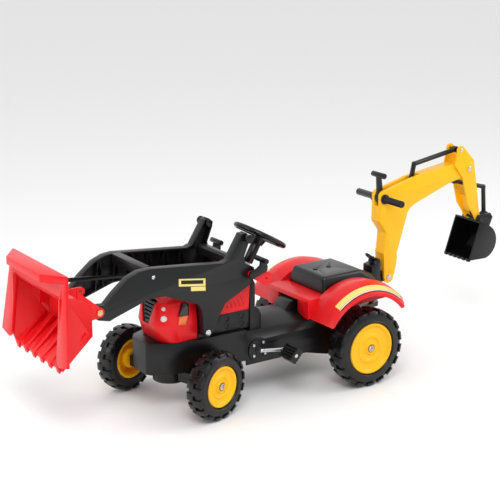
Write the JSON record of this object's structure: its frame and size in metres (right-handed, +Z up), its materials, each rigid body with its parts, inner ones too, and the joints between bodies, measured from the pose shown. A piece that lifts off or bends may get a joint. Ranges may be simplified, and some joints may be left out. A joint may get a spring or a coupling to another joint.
{
  "type": "ride on digger",
  "caption": "Child's pedal-driven ride-on tractor with a front loader bucket, a steered front axle, a seat between mudguards and a slewing digger arm behind.",
  "frame": {"origin": "on the ground, below the middle of the overall box", "axes": "+X forwards towards the front bucket, +Y the driver's left, +Z up"},
  "size_m": [1.537, 0.422, 0.5898],
  "materials": {
    "red_body": "satin",
    "black_body": "matte",
    "black_trim": "satin",
    "grey_plastic": "satin",
    "seat_black": "satin",
    "yellow_plastic": "satin",
    "tyre_black": "matte",
    "zinc": "bright zinc plating",
    "black_steel": "black coating",
    "brass_pins": "yellow zinc",
    "lamp_clear": "glossy",
    "lamp_amber": "glossy"
  },
  "bodies": {
    "chassis": {"front_housing": "black_body", "rear_housing": "black_body", "dashboard": "black_body", "cowl": "black_body", "hood": "red_body", "grille": "black_trim", "side_panels": "red_body", "head_lamps": "lamp_clear", "marker_lamps": "lamp_amber", "seat_base": "red_body", "seat": "seat_black", "body_screws": "zinc", "crank_covers": "grey_plastic", "bushes": "grey_plastic", "drive_chain": "zinc", "column_bush": "grey_plastic", "digger_mount": "black_trim", "loader_pins": "zinc", "kingpin": "zinc"},
    "steer_beam": {"front_beam": "black_trim", "front_axle": "zinc", "front_nuts": "zinc"},
    "front_wheel_left": {"front_tyre_left": "tyre_black", "front_rim_left": "yellow_plastic"},
    "front_wheel_right": {"front_tyre_right": "tyre_black", "front_rim_right": "yellow_plastic"},
    "rear_wheels": {"rear_axle": "zinc", "rear_tyre_left": "tyre_black", "rear_tyre_right": "tyre_black", "rear_rim_left": "yellow_plastic", "rear_rim_right": "yellow_plastic", "rear_nuts": "zinc", "axle_sprocket": "zinc"},
    "crankset": {"crank": "zinc", "crank_sprocket": "zinc"},
    "pedal_left": {"pedal_left": "black_trim"},
    "pedal_right": {"pedal_right": "black_trim"},
    "column": {"steering_column": "zinc", "steering_wheel": "black_trim"},
    "horn_left": {"horn_button_left": "red_body"},
    "horn_right": {"horn_button_right": "red_body"},
    "steering_link": {"steering_link": "zinc"},
    "loader": {"loader_arm_left": "grey_plastic", "loader_arm_right": "grey_plastic", "loader_bars": "grey_plastic", "loader_grips": "black_trim"},
    "front_bucket": {"front_bucket": "red_body", "bucket_pins": "brass_pins"},
    "tilt_lever": {"tilt_lever": "red_body", "tilt_grips": "black_trim"},
    "tilt_rod": {"tilt_rod": "black_trim"},
    "swing": {"swing_bracket": "black_trim"},
    "lock_ring": {"lock_ring": "black_steel"},
    "boom": {"boom": "yellow_plastic", "side_grips": "black_trim"},
    "curl_lever": {"curl_lever": "black_trim"},
    "curl_rod": {"curl_rod": "black_trim"},
    "stick": {"stick": "yellow_plastic"},
    "scoop_link": {"scoop_link": "black_trim"},
    "scoop": {"scoop": "black_trim"}
  },
  "joints": [
    {"name": "steer", "type": "hinge", "parent": "chassis", "child": "steer_beam", "pos_m": [0.3575, 0, 0.1], "axis": [0, 0, 1], "range_deg": [-33.5, 2.5]},
    {"name": "front_wheel_left_spin", "type": "hinge", "parent": "steer_beam", "child": "front_wheel_left", "pos_m": [0.3575, 0, 0.092], "axis": [-0.2672, 0.9636, 0], "continuous": true},
    {"name": "front_wheel_right_spin", "type": "hinge", "parent": "steer_beam", "child": "front_wheel_right", "pos_m": [0.3575, 0, 0.092], "axis": [-0.2672, 0.9636, 0], "continuous": true},
    {"name": "rear_axle_spin", "type": "hinge", "parent": "chassis", "child": "rear_wheels", "pos_m": [-0.1605, 0, 0.11], "axis": [0, 1, 0], "continuous": true},
    {"name": "crank_spin", "type": "hinge", "parent": "chassis", "child": "crankset", "pos_m": [0.1365, 0, 0.135], "axis": [0, 1, 0], "continuous": true},
    {"name": "pedal_left_spin", "type": "hinge", "parent": "crankset", "child": "pedal_left", "pos_m": [0.07474, 0.157, 0.1296], "axis": [0, 1, 0], "continuous": true},
    {"name": "pedal_right_spin", "type": "hinge", "parent": "crankset", "child": "pedal_right", "pos_m": [0.19826, -0.157, 0.1404], "axis": [0, 1, 0], "continuous": true},
    {"name": "column_turn", "type": "hinge", "parent": "chassis", "child": "column", "pos_m": [0.0685, 0, 0.421], "axis": [-0.5, 0, 0.866], "range_deg": [-33.5, 2.5]},
    {"name": "link_swing", "type": "hinge", "parent": "column", "child": "steering_link", "pos_m": [0.25212, -0.03855, 0.12434], "axis": [-0.5, 0, 0.866], "range_deg": [-2.5, 33.5]},
    {"name": "horn_left_press", "type": "slide", "parent": "column", "child": "horn_left", "axis": [0.5, 0, -0.866], "range_m": [0, 0.0028], "stiffness_N_per_m": 300},
    {"name": "horn_right_press", "type": "slide", "parent": "column", "child": "horn_right", "axis": [0.5, 0, -0.866], "range_m": [0, 0.0028], "stiffness_N_per_m": 300},
    {"name": "loader_lift", "type": "hinge", "parent": "chassis", "child": "loader", "pos_m": [0.3015, 0, 0.217], "axis": [0, 1, 0], "range_deg": [-5, 20]},
    {"name": "bucket_tilt", "type": "hinge", "parent": "loader", "child": "front_bucket", "pos_m": [0.6175, 0, 0.331], "axis": [0, 1, 0], "range_deg": [-8, 26]},
    {"name": "tilt_lever_turn", "type": "hinge", "parent": "loader", "child": "tilt_lever", "pos_m": [0.1685, 0, 0.354], "axis": [0, 1, 0], "range_deg": [-37, 12]},
    {"name": "tilt_rod_turn", "type": "hinge", "parent": "front_bucket", "child": "tilt_rod", "pos_m": [0.6445, 0, 0.378], "axis": [0, 1, 0], "range_deg": [-24, 8]},
    {"name": "digger_swing", "type": "hinge", "parent": "chassis", "child": "swing", "pos_m": [-0.3255, 0, 0.217], "axis": [0, 0, 1], "range_deg": [-60, 60]},
    {"name": "lock_ring_fold", "type": "hinge", "parent": "swing", "child": "lock_ring", "pos_m": [-0.3225, 0, 0.29], "axis": [0, 1, 0], "range_deg": [-45, 70]},
    {"name": "boom_lift", "type": "hinge", "parent": "swing", "child": "boom", "pos_m": [-0.3715, 0, 0.231], "axis": [0, 1, 0], "range_deg": [-30, 6]},
    {"name": "stick_curl", "type": "hinge", "parent": "boom", "child": "stick", "pos_m": [-0.6635, 0, 0.518], "axis": [0, 1, 0], "range_deg": [-8, 18]},
    {"name": "curl_lever_turn", "type": "hinge", "parent": "boom", "child": "curl_lever", "pos_m": [-0.3475, 0, 0.467], "axis": [0, 1, 0], "range_deg": [-18, 8]},
    {"name": "curl_rod_turn", "type": "hinge", "parent": "stick", "child": "curl_rod", "pos_m": [-0.6295, 0, 0.576], "axis": [0, 1, 0], "range_deg": [-13.5, 6]},
    {"name": "scoop_link_turn", "type": "hinge", "parent": "boom", "child": "scoop_link", "pos_m": [-0.6235, 0, 0.482], "axis": [0, 1, 0], "range_deg": [-9.8, 21.8]},
    {"name": "scoop_turn", "type": "hinge", "parent": "stick", "child": "scoop", "pos_m": [-0.7085, 0, 0.36], "axis": [0, 1, 0], "range_deg": [-11.5, 25.6]}
  ],
  "couplings": [
    {"joint": "crank_spin", "follows": "rear_axle_spin", "ratio": 0.75},
    {"joint": "column_turn", "follows": "steer", "ratio": 1},
    {"joint": "link_swing", "follows": "steer", "ratio": -1},
    {"joint": "tilt_lever_turn", "follows": "bucket_tilt", "ratio": -1.41},
    {"joint": "tilt_rod_turn", "follows": "bucket_tilt", "ratio": -0.905},
    {"joint": "curl_lever_turn", "follows": "stick_curl", "ratio": -0.99},
    {"joint": "curl_rod_turn", "follows": "stick_curl", "ratio": -0.737},
    {"joint": "scoop_link_turn", "follows": "stick_curl", "ratio": 1.202},
    {"joint": "scoop_turn", "follows": "stick_curl", "ratio": 1.413}
  ]
}
